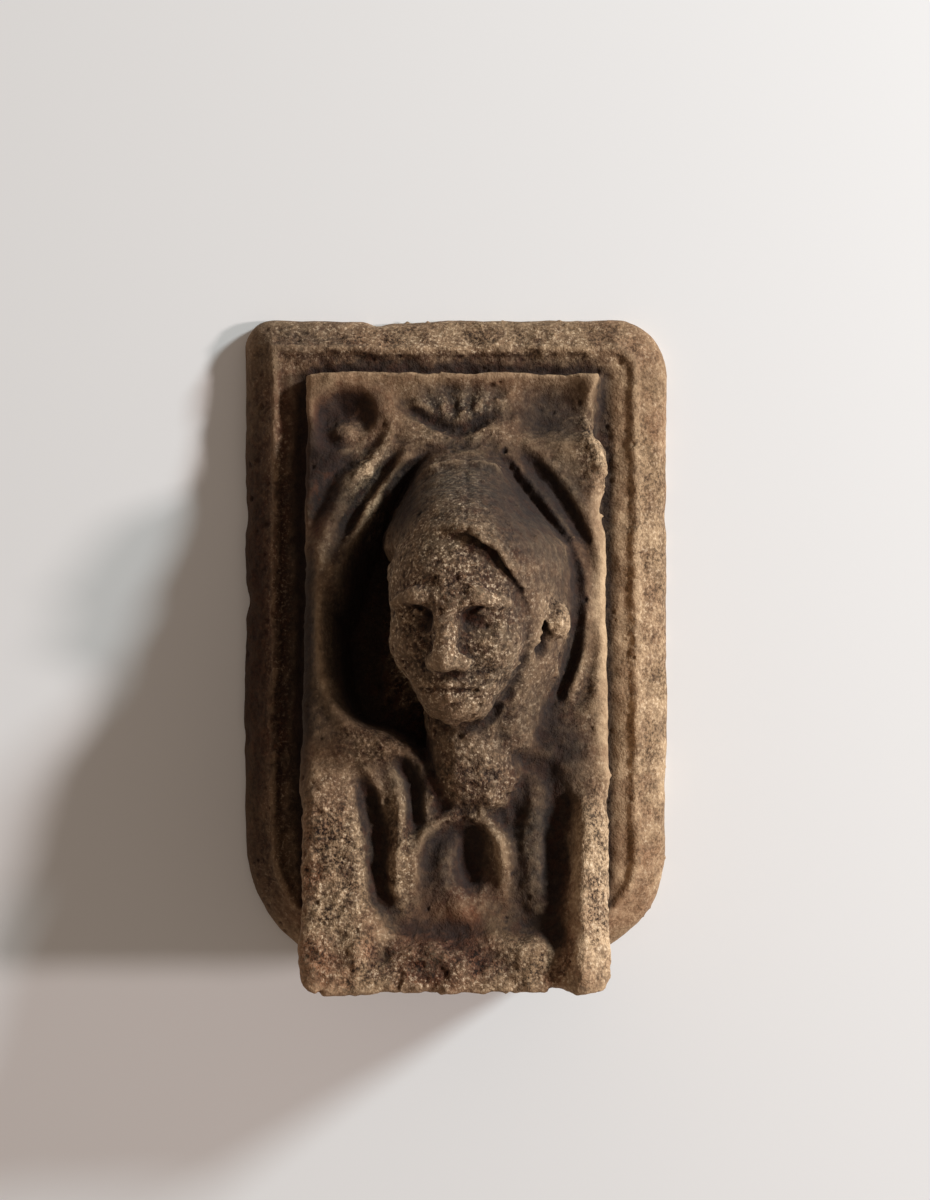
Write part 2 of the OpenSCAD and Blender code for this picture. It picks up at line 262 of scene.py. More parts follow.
raiseBand(bands["innerRight"], 4.4, 3, 6)
raiseBand(bands["outerRight"], 4.6, 1.6, 4)
cutGroove([(-24, 92), (-27, 85), (-34, 74), (-41, 64), (-50, 47.5), (-53.5, 34)], 4, 7, 2, 0.3)
cutGroove([(-33, 106), (-35, 92), (-43, 83), (-54, 75), (-61, 61), (-64.5, 48), (-66, 34)], 4.6, 5.4, 2, 0.3)
cutGroove([(14, 86), (17.5, 81), (27.7, 66), (38.9, 51.7), (48, 39), (51, 31)], 4.4, 6, 2.4, 0.25)
cutGroove([(24, 92), (30, 84), (43, 69), (51.5, 56), (59, 41), (61, 30)], 3.8, 4.4, 2.4, 0.3)
cutGroove([(54, 4), (52, -6), (46.5, -18), (40, -33)], 3.4, 5.4, 2.4, 0.3)
cutGroove([(61.6, 4), (60.5, -10), (57, -24), (52, -34)], 2.8, 2.6, 2, 0.3)
lump(-66, 0, 3.5, 60, -1.5, 4)

print("relief: lower part")
ground = ramp(-34, -25, mapX) * (1 - ramp(42, 47, mapX))
ground = ground * ramp(-132, -122, mapUp) * (1 - ramp(-62, -48, mapUp))
front = front - 6 * ground
pillow = ramp(-70, -58, mapX) * (1 - ramp(-41, -31, mapX)) * (1 - ramp(-60, -46, mapUp))
front = front + 3.6 * pillow
pillowRight = ramp(45, 53, mapX) * (1 - ramp(53, 70, mapX)) * (1 - ramp(-80, -62, mapUp))
front = front + 7 * pillowRight
cutGroove([(-43, -58), (-38.5, -66), (-34, -84), (-31.5, -106), (-25, -122)], 6, 8.5, 3, 0.25)
raiseBand([(-47, -41), (-36, -50), (-27, -58), (-23.5, -72), (-23, -88), (-24.5, -104), (-22, -118)],
          6.2, 1.2, 6, 2.4, 0.2)
raiseBand([(-42, -40), (-31, -44.5), (-21.5, -49), (-14.5, -57), (-11.5, -71), (-15.5, -84)],
          5.4, 0.2, 8, 2.4, 0.2)
cutGroove([(-30, -51), (-21, -56.5), (-17.8, -67), (-17.4, -79), (-19, -88)], 3.6, 7, 2.4, 0.25)
lump(-25.4, -94.6, 4.2, 4.2, 3.4)
collar = [(-17, -112), (-18, -102), (-16.5, -91), (-11.5, -81.5), (-1.5, -76.5), (9.5, -76.5), (17.5, -83.5),
          (21, -96), (20.5, -108)]
raiseBand(collar, 5, 1.4, 7, 2, 0.2)
cutGroove([(-11, -106), (-12, -96), (-8, -87), (0, -83), (8, -84.5)], 4, 7, 2, 0.3)
lump(6.5, -95.5, 5, 10.5, -8, 2)                     # the dark hollow inside the collar
lump(4, -113, 8, 7, 5)
lump(-3, -97, 7, 12, 3.4)
cutGroove([(25, -54), (26.6, -70), (26, -88), (28, -106)], 3.6, 5.4, 2.6, 0.4)
raiseBand([(31, -44), (34.4, -62), (34, -84), (36, -112)], 7, -2, 6, 3, 0.3)
cutGroove([(47, -50), (45.6, -62), (44, -90), (43.2, -116), (43.5, -126)], 7.4, 7.6, 4, 0.35)
lump(43.5, -130, 5, 6, -4)
footBand = 1 - ramp(-130, -120, mapUp)
front = front + footBand * (1.2 + 2.0 * noise(15, xs, mapZ) + 1.2 * noise(7, xs, mapZ))
for x, z, r, rise in ((-29, -126, 8, 3.4), (-9, -131, 8, 2.0), (17, -125, 9, 3.2), (33, -131, 7, 2.4),
                      (-18, -141, 9, 1.6), (4, -140, 9, 1.8), (50, -139, 9, 1.4)):
    lump(x, z, r, r * 0.8, rise)
lump(10, -50, 20, 30, -4, 4)


# how coarse, dark and pale each place is, over the front; the dark is partly painted shade and the pale partly
# painted light
wear = {    # (across, up, half width, half height, amount)
    "coarse": [(0, 135, 110, 16, 0.75), (92, 0, 16, 150, 0.6), (-92, 0, 18, 150, 0.5),
               (-52, -105, 22, 48, 1.0), (60, -105, 10, 45, 1.0), (-6, -2, 34, 50, 1.3), (8, -60, 24, 24, 1.0),
               (0, -138, 70, 14, 1.0), (-38, 66, 12, 26, 0.9), (2, 98, 26, 18, 0.7), (-50, 95, 14, 10, 0.5),
               (64, 85, 10, 20, 0.9), (44, 4, 9, 10, 0.9), (-36, -46, 16, 10, 0.9), (-24, -95, 8, 30, 0.8),
               (50, -25, 14, 20, 0.6), (0, 0, 70, 150, 0.35), (45, -90, 9, 44, 0.6)],
    "sootAndShade": [(-60, 76, 13, 30, 1.1), (0, 0, 72, 123, 0.82), (-50, 101, 17, 17, 0.5), (-42, 60, 26, 40, 0.85),
             (0, -136, 30, 12, 0.7), (46, 104, 24, 18, 0.92), (-50, 10, 16, 60, 1.0), (-2, 58, 36, 30, 1.0),
             (42, 60, 22, 26, 0.95), (3, -97, 22, 20, 1.0), (34, -90, 14, 40, 0.97), (-66, 0, 7, 60, 0.9),
             (46, -50, 16, 20, 0.95), (-16, -66, 8, 20, 0.95), (-80, 0, 12, 150, 1.0), (-93, 20, 12, 140, 1.0),
             (2, 106, 26, 12, 1.0), (-60, -30, 12, 22, 0.95), (0, 130, 100, 26, 0.35), (90, 0, 22, 140, 0.1),
             (-95, -115, 22, 44, 1.0), (-72, 138, 30, 14, 0.8)],
    "blackSootAndShade": [(30, 52, 20, 32, 0.75), (46, -55, 12, 22, 0.55), (-61, 76, 12, 30, 1.0), (-67, -10, 5, 60, 1.0),
              (-43, 4, 12, 44, 0.8), (-28, -38, 14, 9, 0.5), (-61, 101, 5, 12, 0.75), (-38, 104, 5, 10, 0.6),
              (-50, 111, 10, 5, 0.5), (6.5, -95.5, 6, 11, 0.2), (-4, -76, 22, 8, 0.3), (10, -56, 16, 12, 0.25),
              (-14, -60, 9, 16, 0.5), (36, -88, 9, 34, 0.35), (-24, 57, 9, 20, 0.9), (33, 60, 8, 22, 0.75),
              (-98, 0, 13, 130, 0.75), (54, 58, 8, 24, 0.3), (52, 24, 10, 14, 0.35), (0, -132, 28, 12, 0.35),
              (-6, -92, 10, 18, 0.4), (-22, 58, 9, 22, 0.6), (2, 87, 20, 5, 0.4)],
    "paleAndLit": [(60, -108, 11, 42, 1.25), (96, -20, 9, 120, 0.55), (66, 85, 7, 14, 1.0), (0, 142, 100, 12, 0.3),
             (79, 0, 10, 140, 0.85), (-2, 6, 24, 34, 0.25), (-50, -100, 13, 40, 0.45), (66, 8, 5, 74, 1.0),
             (-57.5, 0, 3, 40, 0.4), (-36, -45, 12, 9, 0.35), (8, -50, 14, 18, 0.3), (90, 120, 24, 30, 0.25),
             (-42, -132, 24, 16, 0.3), (44, 4, 8, 9, 1.0), (-38, 64, 6, 18, 1.1), (30, -138, 34, 10, 0.3),
             (-50, 95, 9, 6, 0.7), (3, 92, 22, 5, 0.3), (-42, 70, 16, 24, 0.15)],
    "rust": [(-92, 10, 16, 120, 0.9), (-92, -110, 16, 60, 0.7), (-52, -110, 20, 40, 0.45),
             (-62, 75, 10, 30, 1.0), (0, -136, 60, 14, 0.9), (-10, -10, 20, 34, 0.35),
             (-60, -110, 14, 34, 0.7), (10, -106, 18, 20, 0.6), (50, -112, 8, 30, 0.6),
             (-50, 100, 16, 16, 0.3), (-20, -6, 18, 30, 0.5), (60, 112, 14, 12, 0.4), (34, -124, 20, 14, 0.5),
             (84, -60, 12, 40, 0.2)],
}


def wearMap(name):
    total = np.zeros((len(xs), len(mapZ)), np.float32)
    for x, z, rx, rz, amount in wear[name]:
        total = np.maximum(total, amount * blob(x, z, rx, rz, 3))
    return total


coarseMap = wearMap("coarse")
for _ in range(2):
    front = boxBlur(boxBlur(front, max(1, round(1.5 / step)), 0), 3, 1)
front = front + mix(0.1, 0.45, coarseMap) * noise(2.6, xs, mapZ)

print("field: plate and block")


# distance inward from the plate's outline, over the grid's x and z
def plateInset():
    x, z = xs[:, None], zs[None, :]
    radius = np.where(z < -20, form["cornerFoot"], np.where(x < 0, form["cornerLeft"], form["cornerRight"]))
    middle, halfHigh = (form["plateTop"] + form["arcsFoot"]) / 2, (form["plateTop"] - form["arcsFoot"]) / 2
    qx = np.abs(x) - form["plateHalfWide"] + radius
    qz = np.abs(z - middle) - halfHigh + radius
    away = np.hypot(np.maximum(qx, 0), np.maximum(qz, 0)) + np.minimum(np.maximum(qx, qz), 0) - radius
    worn = 0.9 * noise(37, xs, zs) + 0.3 * noise(15, xs, zs) + 0.15 * noise(5, xs, zs)
    return -away + worn - 0.3


moulding = [(-5, 2), (0, 7.5), (1.5, 10.5), (4, 13), (13, 19.4), (14.5, 21.2), (16, 21.6), (17.6, 20.9),
            (19, 19.6), (24, 19.0), (28, 17.6), (40, 17.5)]    # (distance inward, thickness)
inset = plateInset()
plateFront = np.interp(inset, *zip(*moulding)).astype(np.float32)
plateFront += 0.9 * noise(22, xs, zs) + 0.5 * noise(8, xs, zs)
# the moulding is worn down at the upper right
wornAway = np.exp(-((xs[:, None] - 88) / 26) ** 2 - ((zs[None, :] - 112) / 34) ** 2)
plateFront -= wornAway * 1.6 * ramp(6, 15, inset)
field = softMax(gridT - plateFront[:, None, :], -inset[:, None, :], 4)

halfWide = np.interp(zs, [form["foot"], form["blockTop"]], [form["blockFootHalf"], form["blockHeadHalf"]])
slope = form["footDepth"] - gridT
along = alongFront(gridT, gridZ)
over = (-slope * cosLean + (gridZ - form["foot"]) * sinLean)[0]
place = np.clip((along[0] - mapZ[0]) / mapStep, 0, len(mapZ) - 2)
cell = place.astype(int)
part = (place - cell).astype(np.float32)
block = over[None] - (front[:, cell] * (1 - part) + front[:, cell + 1] * part)
sideWave = 0.7 * noise(19, ts, zs) + 0.5 * noise(8, ts, zs)
rightBite = (4.6 * ramp(131, 110, zs) * ramp(81, 95, zs) + 3 * np.exp(-((zs - 57) / 8) ** 2)
             - 1.2 * np.exp(-((zs - 78) / 8) ** 2))[None, :] * ramp(14, 26, ts)[:, None]
side = softMax(gridX - halfWide + (sideWave + rightBite)[None], -gridX - halfWide + sideWave[::-1][None], 1)
block = softMax(block, side, 5.5)
block = softMax(block, gridZ - form["blockTop"] + 0.5 * noise(15, xs, ts)[:, :, None], 2)
footRound = np.hypot(np.maximum(np.abs(gridX) - 55.5, 0), np.minimum(gridZ + 139, 0)) - 10.2
block = np.where((np.abs(gridX) > 55.5) & (gridZ < -139), np.maximum(block, footRound), block)
footFloor = form["foot"] + 0.6 - gridZ + 0.5 * noise(14, xs, ts)[:, :, None]
block = softMax(block, footFloor, 5)
field = softMin(field, block, 1.2)
del block, along, slope


# shapes in the round are worked out only near themselves
def cellsNear(centre, reach):
    lows = [int(max(0, (c - r - a[0]) / step)) for c, r, a in zip(centre, reach, (xs, ts, zs))]
    highs = [int(max(0, (c + r - a[0]) / step + 2)) for c, r, a in zip(centre, reach, (xs, ts, zs))]
    return tuple(slice(a, b) for a, b in zip(lows, highs))


# joins a shape to the stone near its centre, or cuts it out
def join(shape, centre, reach, soft=1.0, cut=False):
    if np.isscalar(reach):
        reach = (reach,) * 3
    near = cellsNear(centre, reach)
    d = shape(xs[near[0], None, None], ts[None, near[1], None], zs[None, None, near[2]])
    field[near] = softMax(field[near], -d, soft) if cut else softMin(field[near], d, soft)


# both of these give a distance that is negative inside
def ellipsoid(x, t, z, rx, rt, rz):
    k = np.sqrt((x / rx) ** 2 + (t / rt) ** 2 + (z / rz) ** 2)
    g = np.sqrt((x / rx ** 2) ** 2 + (t / rt ** 2) ** 2 + (z / rz ** 2) ** 2)
    return k * (k - 1) / np.maximum(g, 1e-4)


def rod(x, t, z, a, b, ra, rb):
    d = [q - p for p, q in zip(a, b)]
    s = np.clip(((x - a[0]) * d[0] + (t - a[1]) * d[1] + (z - a[2]) * d[2]) / sum(v * v for v in d), 0, 1)
    away = np.sqrt((x - a[0] - s * d[0]) ** 2 + (t - a[1] - s * d[1]) ** 2 + (z - a[2] - s * d[2]) ** 2)
    return away - mix(ra, rb, s)


head = {
    "centre": (4, 70, 13), "turn": 12, "nod": 9,
    "neckTop": (8, 60, -24), "neckFoot": (9, 58, -60), "neckRadius": 20.5,
}
turnBy, nodBy = math.radians(head["turn"]), math.radians(head["nod"])


# turns places into the head's own directions: across, forward, up
def headFrame(x, t, z):
    wx, wt, wz = x - head["centre"][0], t - head["centre"][1], z - head["centre"][2]
    across = wx * math.cos(turnBy) + wt * math.sin(turnBy)
    forward = -wx * math.sin(turnBy) + wt * math.cos(turnBy)
    nodded = forward * math.cos(nodBy) - wz * math.sin(nodBy)
    return across, nodded, wz * math.cos(nodBy) + forward * math.sin(nodBy)


def headShape(x, t, z):
    a, f, u = headFrame(x, t, z)
    b = np.abs(a)
    d = softMin(ellipsoid(a, f + 2, u - 9, 32, 36.5, 36), ellipsoid(a, f - 6, u + 10, 28.5, 28.5, 36), 10)
    d = softMin(d, ellipsoid(a, f - 20, u + 36, 15, 13.5, 10), 8)                   # jaw and chin
    d = softMin(d, ellipsoid(b - 17, f - 21, u + 11, 10, 10.5, 12), 8)              # cheeks
    d = softMax(d, -ellipsoid(b - 14, f - 37.5, u - 0.5, 9.5, 9, 7), 4)             # eye sockets
    d = softMin(d, rod(b, f, u, (3, 34, 7.5), (13, 33, 10.5), 3.2, 2.8), 4)         # brow
    d = softMin(d, rod(b, f, u, (13, 33, 10.5), (24, 26, 6.5), 2.8, 2), 4)
    d = softMin(d, ellipsoid(b - 13.6, f - 24.4, u + 0.3, 8, 6.4, 4.8), 1.5)        # eyes and lids
    d = softMin(d, rod(b, f, u, (6.4, 30, 0), (13.3, 31.2, 3.9), 1.2, 1.5), 1.3)
    d = softMin(d, rod(b, f, u, (13.3, 31.2, 3.9), (21, 26.6, 0.2), 1.5, 1.2), 1.3)
    d = softMin(d, rod(b, f, u, (7, 29.4, -1.8), (13.3, 30.4, -4.2), 1.0, 1.2), 1.5)
    d = softMin(d, rod(b, f, u, (13.3, 30.4, -4.2), (20.4, 26.4, -1.8), 1.2, 1.0), 1.5)
    d = softMin(d, rod(a, f, u, (0, 33, 8), (0, 39.5, -14), 4, 5.2), 4)             # nose
    d = softMin(d, ellipsoid(a, f - 39.6, u + 15.5, 5.4, 4.8, 4.6), 2.5)
    d = softMin(d, ellipsoid(b - 6, f - 35.6, u + 16.8, 3.4, 5, 3.6), 2.5)
    d = softMin(d, ellipsoid(a, f - 26.6, u + 28, 15.5, 7.5, 9), 7)                 # mouth
    d = softMin(d, rod(b, f, u, (0, 35, -26.2), (11, 30.4, -28.4), 2.3, 1.1), 1.8)
    d = softMin(d, rod(b, f, u, (0, 34.2, -32), (8.6, 31, -30.8), 2.9, 1.6), 2)
    return softMax(d, -rod(b, f, u, (0, 37.4, -29), (11.5, 32, -29.2), 1.1, 0.8), 1)


def neckShape(x, t, z):
    r = head["neckRadius"]
    return rod(x, t, z, head["neckTop"], head["neckFoot"], r, r + 2)


print("field: head, hood and neck")
join(neckShape, (9, 60, -50), (34, 40, 58), 8)
join(headShape, head["centre"], (46, 56, 60), 5)


hood = {
    # (height, left edge, right edge, distance of its crown from the wall), from the keystone down
    "sections": [(90, -17, 20, 33), (84, -15, 20, 41), (78, -17, 23, 50), (70, -21, 28, 66), (62, -25, 34, 81),
                 (54, -29, 40, 93), (47, -32, 46, 102.5), (40, -33, 52, 106), (30, -28, 54, 105),
                 (15, -18, 54, 98), (0, -12, 52.5, 92), (-15, -8, 48, 86), (-30, -4, 42, 81), (-45, 0, 38, 76.5),
                 (-56, 2, 34, 72)],
    # middle across and up, half width and half height, in the head's own directions
    "opening": (-1, -7, 32.5, 43),
    "reach": (52, 56, 84),
}
hoodZ, hoodLeft, hoodRight, hoodCrown = np.array(hood["sections"]).T[:, ::-1]
leftAt, rightAt, crownAt = (np.interp(zs, hoodZ, v)[None, :] for v in (hoodLeft, hoodRight, hoodCrown))
levelAt = (form["footDepth"] - (zs - form["foot"]) * math.tan(leanAngle))[None, :]
share = np.clip(np.abs(2 * xs[:, None] - leftAt - rightAt) / (rightAt - leftAt), 0, 2.5)
hoodOut = levelAt - 2 + (crownAt - levelAt + 2) * (1 - share ** 2.2)
hoodOut = hoodOut + 0.8 * noise(17, xs, zs) + 0.4 * noise(7, xs, zs)
hoodOut -= 26 * np.clip(share - 1, 0, 1.5) + 14 * ramp(-46, -66, zs)
slopeX, slopeZ = np.gradient(hoodOut, step)
hoodEase = 1 / np.sqrt(1 + slopeX ** 2 + slopeZ ** 2)


# the hood and the veil below it, open in front of the face
def hoodShape(x, t, z):
    i, k = (np.searchsorted(axis, v.ravel()[0] - 0.01) for axis, v in ((xs, x), (zs, z)))
    cut = np.s_[i:i + x.size, k:k + z.size]
    d = (t - hoodOut[cut][:, None, :]) * hoodEase[cut][:, None, :]
    rows = slice(k, k + z.size)
    d = softMax(d, leftAt[0, rows] - x, 4)
    across, forward, up = headFrame(x, t, z)
    a, u, wide, high = hood["opening"]
    opening = (np.hypot((across - a) / wide, (up - u) / high) - 1) * wide
    return softMax(np.maximum(d, z - 88), -softMax(opening, 12 - forward, 6), 2.5)


join(hoodShape, (8, 62, 16), hood["reach"], 2.5)


# the thin raised line across the hood's top
def hoodLine(x, t, z):
    return rod(x, t, z + 0.008 * (x - 3) ** 2, (-11, 50.8, 77.4), (17, 51, 77.8), 1.2, 1.4)


join(hoodLine, (3, 52, 77), (22, 8, 9), 5)


# how far the veil stands from the wall at a place
def veilAt(x, z):
    return float(hoodOut[np.searchsorted(xs, x), np.searchsorted(zs, z)])


ear = {"across": 43.5, "up": 8, "radii": (6.4, 6, 8.4)}
earOut = veilAt(ear["across"], ear["up"])


def earBoss(x, t, z):
    return ellipsoid(x - ear["across"], t - earOut, z - ear["up"], *ear["radii"])


def earLobe(x, t, z):
    return ellipsoid(x - 42, t - earOut - 4, z - 4, 3.6, 3, 3.6)


def grooveBeforeEar(x, t, z):
    return ellipsoid(x - 35.4, t - earOut - 5, z - 3, 3.4, 2.6, 9)


def dipUnderEar(x, t, z):
    return ellipsoid(x - 40.5, t - earOut - 5, z + 3.5, 4, 2.4, 2)


join(earBoss, (ear["across"], earOut, ear["up"]), 12, 1.5)
join(earLobe, (42, earOut + 4, 4), 8, 2)
join(grooveBeforeEar, (36, earOut + 4, 3), 13, 4, cut=True)
join(dipUnderEar, (40, earOut + 3, -2), 9, 3, cut=True)

# a faint seam down the hood's front
seamNear = cellsNear((5.4, 80, 62), (4, 46, 17))
seamX = xs[seamNear[0], None, None]
field[seamNear] += 0.6 * np.exp(-((seamX - 5.4 - 0.6 * np.sin(zs[seamNear[2]] / 3)) / 0.8) ** 2)


# heights and sizes of the wear in millimetres, and how many pits, grains and chips are tried
weather = {
    "large": 0.7, "middle": 0.55, "middleWaves": (12.1, 7.3), "small": 0.8, "grain": 0.75,
    "pits": 800, "pitSize": (0.7, 1.4), "grains": 2600, "grainSize": (0.7, 1.15),
    "chips": 26, "chipSize": (3, 5.5),
    "rim": (102, 151.5),                            # half width and half height of the line of chips
}

print("field: weathering")
# the wear fades out at the flat back
backEase = ramp(0.5, 7, ts).astype(np.float32)[None, :, None]
coarseXZ = np.take(coarseMap, np.clip(((zs - mapZ[0]) / mapStep).astype(int), 0, len(mapZ) - 1), axis=1)
calmRim = 1 - 0.5 * ramp(9, 1, inset)
rough = (mix(0.3, 1.0, coarseXZ) * calmRim)[:, None, :].astype(np.float32)
onFace = np.exp(-np.hypot((xs[:, None] + 1) / 34, (zs[None, :] - 5) / 42) ** 4)[:, None, :]
onFace = onFace * ramp(72, 84, ts)[None, :, None]
rough = rough * (1 - 0.3 * onFace)
backEase = backEase * (1 - 0.35 * onFace)
field += backEase * weather["large"] * noise(21, xs, ts, zs)
for wave in weather["middleWaves"]:
    field += backEase * weather["middle"] * noise(wave, xs, ts, zs) * mix(0.35, 1, rough)
field += backEase * rough * weather["small"] * noise(4.1, xs, ts, zs)
field += backEase * rough * weather["grain"] * noise(2.1, xs, ts, zs)


# the stone's front at a place, as a distance from the wall
def surfaceAt(x, z):
    i = np.clip(((x - xs[0]) / step).astype(int), 0, len(xs) - 1)
    k = np.clip(((z - zs[0]) / step).astype(int), 0, len(zs) - 1)
    solid = field[i, :, k] < 0
    last = len(ts) - 1 - np.argmax(solid[:, ::-1], axis=1)
    return np.where(solid.any(axis=1), ts[last], -99), coarseXZ[i, k]


# small balls over the front, cut as pits or left as grains
def scatter(count, radii, sink, cut):
    x = rng.uniform(-99, 99, count)
    z = rng.uniform(-148, 148, count)
    t, coarse = surfaceAt(x, z)
    keep = (t > 0) & (rng.uniform(0, 1, count) < 0.15 + 0.85 * coarse)
    sizes = rng.uniform(0, 1, count) ** 2.5 * (radii[1] - radii[0]) + radii[0]
    for cx, ct, cz, r in zip(x[keep], t[keep], z[keep], sizes[keep]):
        c = (cx, ct + sink * r, cz)

        def ball(x, t, z):
            return np.sqrt((x - c[0]) ** 2 + (t - c[1]) ** 2 + (z - c[2]) ** 2) - r

        join(ball, c, r + 1.5, 0.6, cut)


scatter(weather["pits"], weather["pitSize"], 0.5, True)
scatter(weather["grains"], weather["grainSize"], -0.2, False)

# chips knocked off the plate's rim
for i in range(weather["chips"]):
    turn = rng.uniform(0, 2 * math.pi)
    reach = 1 / max(abs(math.cos(turn)) / weather["rim"][0], abs(math.sin(turn)) / weather["rim"][1])
    centre = (reach * math.cos(turn), rng.uniform(8, 16), reach * math.sin(turn))
    r = rng.uniform(*weather["chipSize"])

    def chip(x, t, z):
        return ellipsoid(x - centre[0], t - centre[1], z - centre[2], r, 1.8 * r, 1.2 * r)

    join(chip, centre, 2 * r + 5, 4, True)

field = np.maximum(field, -gridT)                         # the flat-cut back
field = np.maximum(field, form["foot"] - gridZ)
field = np.clip(field, -form["fieldLimit"], form["fieldLimit"]).astype(np.float32)

print("mesh")
grid = openvdb.FloatGrid(float(form["fieldLimit"]))
grid.copyFromArray(field)
points, triangles, quads = grid.convertToPolygons(0.0, 0.0)
points = np.array([xs[0], ts[0], zs[0]]) + np.asarray(points) * step
halves = [quads[:, [0, 1, 2]], quads[:, [0, 2, 3]]]
flat = np.vstack(halves + ([triangles] if len(triangles) else [])).astype(int)
places = np.stack([points[:, 0], -points[:, 1], points[:, 2]], axis=1) * mm
corners = places[flat]
if np.einsum("ij,ij->i", corners[:, 0], np.cross(corners[:, 1], corners[:, 2])).sum() < 0:
    flat = flat[:, ::-1]
rawMesh = bpy.data.meshes.new("rawStone")
rawMesh.vertices.add(len(places))
rawMesh.vertices.foreach_set("co", places.astype(np.float32).ravel())
rawMesh.loops.add(len(flat) * 3)
rawMesh.loops.foreach_set("vertex_index", flat.astype(np.int32).ravel())
rawMesh.polygons.add(len(flat))
rawMesh.polygons.foreach_set("loop_start", np.arange(0, len(flat) * 3, 3, dtype=np.int32))
rawMesh.update(calc_edges=True)
stone = bpy.data.objects.new("stone_carving", rawMesh)
bpy.context.scene.collection.objects.link(stone)
print("triangles before:", len(flat))
smoother = stone.modifiers.new("smoother", "SMOOTH")    # takes off the grid's own steps
smoother.factor = 0.5
smoother.iterations = 2
fewer = stone.modifiers.new("fewer", "DECIMATE")
fewer.ratio = min(1, form["triangles"] / len(flat))
stoneMesh = bpy.data.meshes.new_from_object(stone.evaluated_get(bpy.context.evaluated_depsgraph_get()))
stone.modifiers.clear()
stone.data = stoneMesh
stoneMesh.name = "stone_carving"
print("triangles after:", len(stoneMesh.polygons))
stoneMesh.polygons.foreach_set("use_smooth", np.ones(len(stoneMesh.polygons), bool))

print("masks")


# share of stone round each place: over a half in hollows, under a half on ridges
def fullness(radius):
    values = solid
    for _ in range(2):
        for axis in range(3):
            values = boxBlur(values, radius, axis)
    return values


# the masks are read from a grid half as fine
nx, nt, nz = (cells // 2 for cells in gridSize)
solid = (field[:2 * nx, :2 * nt, :2 * nz] < 0).astype(np.float32)
solid = solid.reshape(nx, 2, nt, 2, nz, 2).mean(axis=(1, 3, 5))
count = len(stoneMesh.vertices)
spots = np.empty(count * 3, np.float32)
stoneMesh.vertices.foreach_get("co", spots)
normals = np.empty(count * 3, np.float32)
stoneMesh.vertex_normals.foreach_get("vector", normals)
spots = spots.reshape(-1, 3) / mm
normals = normals.reshape(-1, 3)
spots[:, 1] *= -1
normals[:, 1] *= -1


def sample(values, places):
    index = [np.clip(((places[:, i] - a[0]) / (2 * step)).astype(int), 0, values.shape[i] - 1)
             for i, a in enumerate((xs, ts, zs))]
    return values[tuple(index)]


def addMask(name, values):
    mask = stoneMesh.attributes.new(name, "FLOAT", "POINT")
    mask.data.foreach_set("value", np.clip(values, 0, 1).astype(np.float32))


# reads a map of the front at the mesh's points
def readMap(values):
    z = spots[:, 2]
    onPlate = (np.abs(spots[:, 0]) > 70) | (z > 120)
    onFront = np.where(onPlate, z, alongFront(spots[:, 1], z))
    i = np.clip(((spots[:, 0] - xs[0]) / step).astype(int), 0, len(xs) - 1)
    k = np.clip(((onFront - mapZ[0]) / mapStep).astype(int), 0, len(mapZ) - 1)
    return values[i, k]


nearFull = sample(fullness(1), spots + normals * 1.2)
midFull = sample(fullness(3), spots + normals * 2.5)
wideFull = sample(fullness(7), spots + normals * 5)
# soot that gathers in hollows, and painted shade there too: places darken by how enclosed they are, and the listed
# black patches add painted shade, such as in the niche
hollow = 0.6 * ramp(0.28, 0.56, midFull) + 0.8 * ramp(0.28, 0.58, wideFull)
litRightEase = ramp(69, 76, spots[:, 0]) * (spots[:, 1] < 26)     # painted shade is eased on the plate's right, which the lamp lights, and on its left, where the block's own shadow falls
shadedLeftEase = ramp(-69, -76, spots[:, 0]) * (spots[:, 1] < 26)
addMask("hollow", hollow * (1 - 0.75 * litRightEase - 0.5 * shadedLeftEase) + readMap(wearMap("blackSootAndShade")))
addMask("ridge", ramp(0.36, 0.16, nearFull) * 0.5 + ramp(0.32, 0.12, midFull) * 0.5)
addMask("coarse", readMap(coarseMap))
addMask("sootAndShade", readMap(wearMap("sootAndShade")))
addMask("paleAndLit", readMap(wearMap("paleAndLit")))
addMask("rust", readMap(wearMap("rust")))

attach(stone, "root")
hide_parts("stone_corbel")


# the stone's colours and finish, with painted shade in its hollows and shaded sides and painted light on its lit
# sides
stoneLook = {
    "sand": (0.21, 0.122, 0.06), "sandPaleAndLit": (0.58, 0.395, 0.235), "rust": (0.17, 0.046, 0.014),
    "iron": (0.075, 0.024, 0.0095),
    "sootAndShadeGrey": (0.043, 0.031, 0.022), "sootRedAndShade": (0.048, 0.0155, 0.007),
    "sootAndShadeBlack": (0.0165, 0.0105, 0.009), "darkGrain": (0.016, 0.008, 0.005),
    "paleGrainAndGlint": (0.74, 0.57, 0.39), "roughness": 0.93, "shine": 0.25,
    "bump": 0.9, "bumpHeight": 0.001,
}


def rgba(c):
    return (*c, 1)


